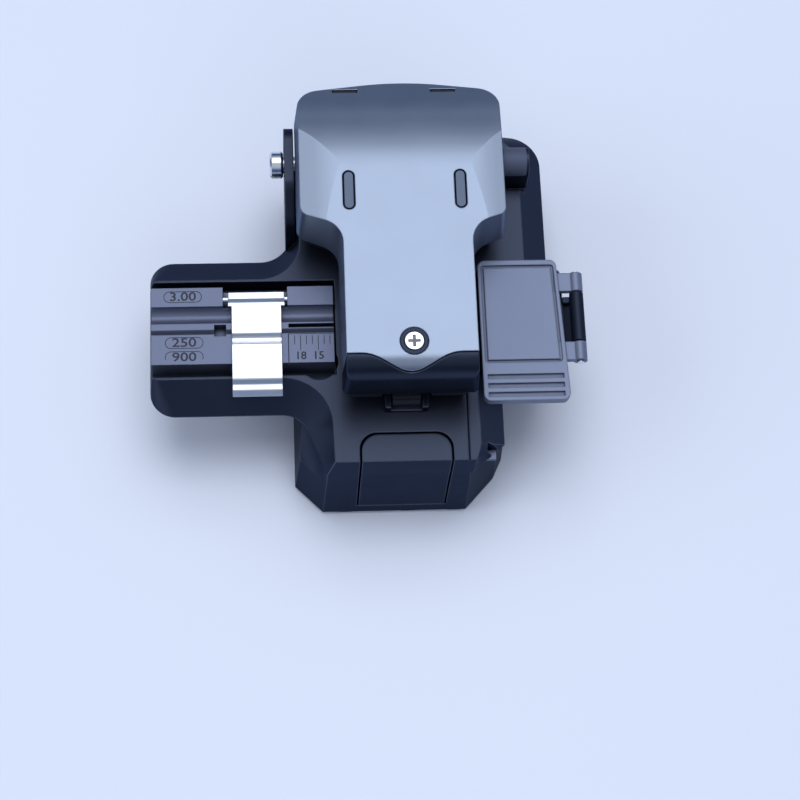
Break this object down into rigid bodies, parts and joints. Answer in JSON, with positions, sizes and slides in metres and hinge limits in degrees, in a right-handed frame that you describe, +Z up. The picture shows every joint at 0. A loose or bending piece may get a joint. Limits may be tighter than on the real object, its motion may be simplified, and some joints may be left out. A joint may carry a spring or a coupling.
{
  "type": "fibre cleaver",
  "caption": "Compact one-hand optical fibre cleaver: hinged top lever, grooved fibre rail with sprung clip, sliding blade carriage and scrap bin with hinged lid.",
  "frame": {"origin": "on the resting plane, straight below the cleave point where the blade's plane crosses the fibre's line", "axes": "+X along the fibre towards the scrap bin, +Y towards the lever's hinge at the back, +Z up"},
  "size_m": [0.0743, 0.0658, 0.0429],
  "materials": {
    "housing": "satin black coat",
    "lacquer": "metallic blue-grey lacquer",
    "cap_black": "satin black",
    "frame_black": "matte black",
    "rail_grey": "dark grey anodised",
    "clip_steel": "bright spring steel",
    "bright_steel": "bright nickel",
    "blade_steel": "ground carbide",
    "inlay": "satin grey",
    "rubber": "matte",
    "lid_grey": "satin dark grey",
    "bin_black": "satin black"
  },
  "bodies": {
    "base": {"base_housing": "housing", "bottom_cover": "housing", "rubber_sole": "rubber", "front_foot_left": "rubber", "front_foot_middle": "rubber", "front_foot_right": "rubber", "bottom_screw_1": "bright_steel", "bottom_screw_2": "bright_steel", "bottom_screw_3": "bright_steel", "bottom_screw_4": "bright_steel", "guide_rod_left": "bright_steel", "guide_rod_right": "bright_steel", "lower_pad_holder_left": "rail_grey", "lower_pad_holder_right": "rail_grey", "lower_pad_left": "rubber", "lower_pad_right": "rubber", "catch_block": "rail_grey", "lock_slide": "lid_grey", "lever_hinge_pin": "bright_steel", "fibre_rail_plate": "rail_grey", "ruler_insert": "rail_grey", "rail_screw_1": "bright_steel", "rail_screw_2": "bright_steel", "clip_hinge_pin": "bright_steel"},
    "lever": {"lever_cover": "lacquer", "lever_front_cap": "cap_black", "lever_frame": "frame_black", "upper_pad_holder_left": "rail_grey", "upper_pad_holder_right": "rail_grey", "upper_pad_left": "rubber", "upper_pad_right": "rubber", "hinge_bush_left": "bright_steel", "hinge_bush_right": "bright_steel", "inlay_left": "inlay", "inlay_right": "inlay", "screw_collar": "frame_black", "cover_screw": "bright_steel", "latch_tongue": "rail_grey"},
    "anvil": {"anvil_stem": "bright_steel", "anvil_tip": "rubber"},
    "clip": {"fibre_clip": "clip_steel", "clip_pad_rear": "rubber", "clip_pad_front": "rubber"},
    "carriage": {"blade_carriage": "frame_black", "blade_axle": "bright_steel", "carriage_front_panel": "housing"},
    "blade": {"blade_wheel": "blade_steel", "blade_hub": "bright_steel"},
    "bin": {"scrap_bin": "bin_black", "lid_hinge_pin": "bright_steel"},
    "lid": {"scrap_lid": "lid_grey", "lid_seal_pad": "rubber"}
  },
  "joints": [
    {"name": "lever_hinge", "type": "hinge", "parent": "base", "child": "lever", "pos_m": [0, 0.0297, 0.03], "axis": [-1, 0, 0], "range_deg": [0, 62]},
    {"name": "anvil_slide", "type": "slide", "parent": "lever", "child": "anvil", "axis": [0, 0, 1], "range_m": [0, 0.001], "stiffness_N_per_m": 200, "springref_m": -0.001},
    {"name": "clip_hinge", "type": "hinge", "parent": "base", "child": "clip", "pos_m": [-0.0254, 0.006, 0.0266], "axis": [-1, 0, 0], "range_deg": [0, 100]},
    {"name": "carriage_slide", "type": "slide", "parent": "base", "child": "carriage", "axis": [0, -1, 0], "range_m": [0, 0.012]},
    {"name": "blade_turn", "type": "hinge", "parent": "carriage", "child": "blade", "pos_m": [0, 0.006, 0.0186], "axis": [1, 0, 0], "continuous": true},
    {"name": "bin_slide", "type": "slide", "parent": "base", "child": "bin", "axis": [1, 0, 0], "range_m": [0, 0.014]},
    {"name": "lid_hinge", "type": "hinge", "parent": "bin", "child": "lid", "pos_m": [0.0293, 0, 0.029], "axis": [0, 1, 0], "range_deg": [0, 110]}
  ]
}
